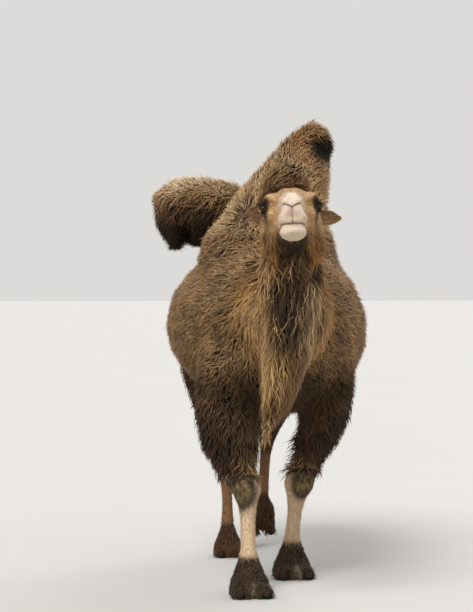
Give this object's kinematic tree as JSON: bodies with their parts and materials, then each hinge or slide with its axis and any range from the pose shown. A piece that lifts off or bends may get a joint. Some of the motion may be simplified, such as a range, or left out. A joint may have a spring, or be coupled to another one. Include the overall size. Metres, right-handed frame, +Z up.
{
  "type": "bactrian camel",
  "caption": "Life-size still model of a walking camel with two flopped humps, a shaggy winter coat, a hair mop on its crown and a long fringe under its neck.",
  "frame": {"origin": "on the floor, under the middle of the whole animal's bounding box", "axes": "+Z up, the camel walks towards -Y, and its left side is on +X"},
  "size_m": [1.0536, 2.6924, 2.2494],
  "materials": {
    "coat": "matte woolly fur",
    "mane": "matte long hair",
    "face": "matte short fur",
    "cannon": "matte short fur",
    "foot": "matte, with horny soles",
    "eye": "wet gloss",
    "toenail": "satin horn"
  },
  "bodies": {
    "root": {"trunk": "coat", "neck": "coat", "hump_front": "coat", "hump_rear": "coat", "tail": "coat", "topknot": "mane", "throat_fringe": "mane", "foreleg_right": "mane", "foreleg_left": "mane", "thigh_right": "mane", "thigh_left": "mane", "head": "face", "lower_jaw": "face", "ear_right": "face", "ear_left": "face", "forecannon_right": "cannon", "forecannon_left": "cannon", "hindcannon_right": "cannon", "hindcannon_left": "cannon", "forefoot_right": "foot", "forefoot_left": "foot", "hindfoot_right": "foot", "hindfoot_left": "foot", "eye_right": "eye", "eye_left": "eye", "forenail_right_outer": "toenail", "forenail_right_inner": "toenail", "forenail_left_outer": "toenail", "forenail_left_inner": "toenail", "hindnail_right_outer": "toenail", "hindnail_right_inner": "toenail", "hindnail_left_outer": "toenail", "hindnail_left_inner": "toenail"}
  },
  "joints": []
}
